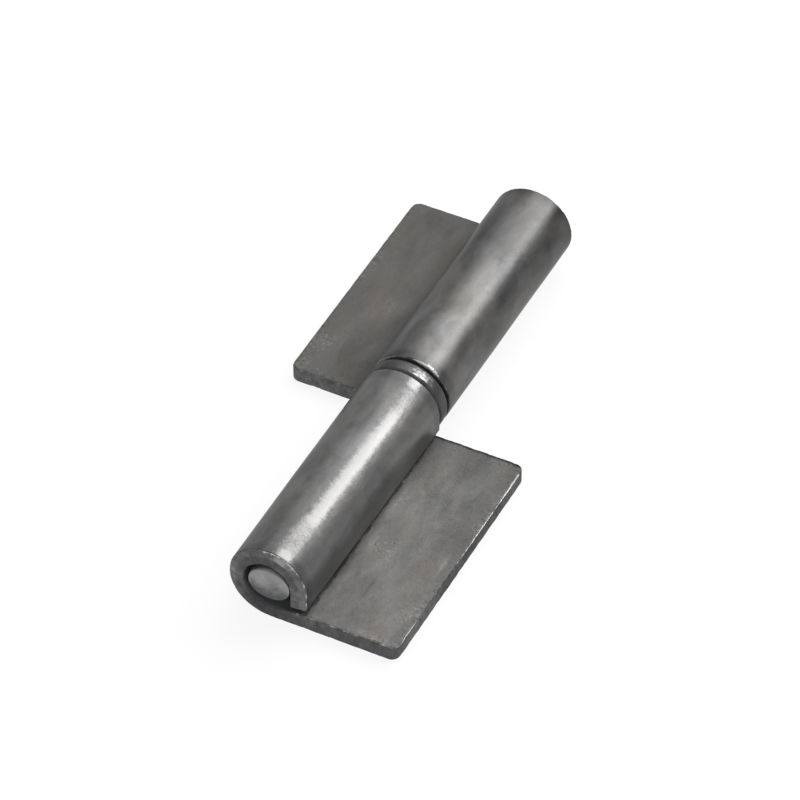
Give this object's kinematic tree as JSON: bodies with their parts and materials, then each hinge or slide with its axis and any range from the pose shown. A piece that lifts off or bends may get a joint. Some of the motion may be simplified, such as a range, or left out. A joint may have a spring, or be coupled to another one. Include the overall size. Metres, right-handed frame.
{
  "type": "weld-on barrel hinge",
  "caption": "Weld-on lift-off barrel hinge: rolled steel leaves on a common pin, a thrust washer between them, and flat plates with no holes for welding.",
  "frame": {"origin": "on the plane of both weld faces, under the middle of the hinge, where the pin's axis crosses the middle of the gap between the two knuckles", "axes": "+Y along the pin, from the leaf that carries the pin to the leaf that lifts off; +X from the pin towards the outer edge of the leaf that carries the pin; +Z away from the weld faces"},
  "size_m": [0.047, 0.0996, 0.015],
  "materials": {
    "leaf_steel": "raw rolled steel, mottled and unpainted",
    "pin_steel": "cold drawn steel, blasted end",
    "washer_steel": "turned steel, lightly scratched"
  },
  "bodies": {
    "frame_side": {"pin_leaf": "leaf_steel", "hinge_pin": "pin_steel"},
    "washer": {"thrust_washer": "washer_steel"},
    "door_side": {"socket_leaf": "leaf_steel"}
  },
  "joints": [
    {"name": "swing", "type": "hinge", "parent": "frame_side", "child": "washer", "pos_m": [0, 0, 0.0075], "axis": [0, 1, 0], "continuous": true},
    {"name": "lift_off", "type": "slide", "parent": "washer", "child": "door_side", "axis": [0, 1, 0], "range_m": [-0.00035, 0.045]}
  ]
}
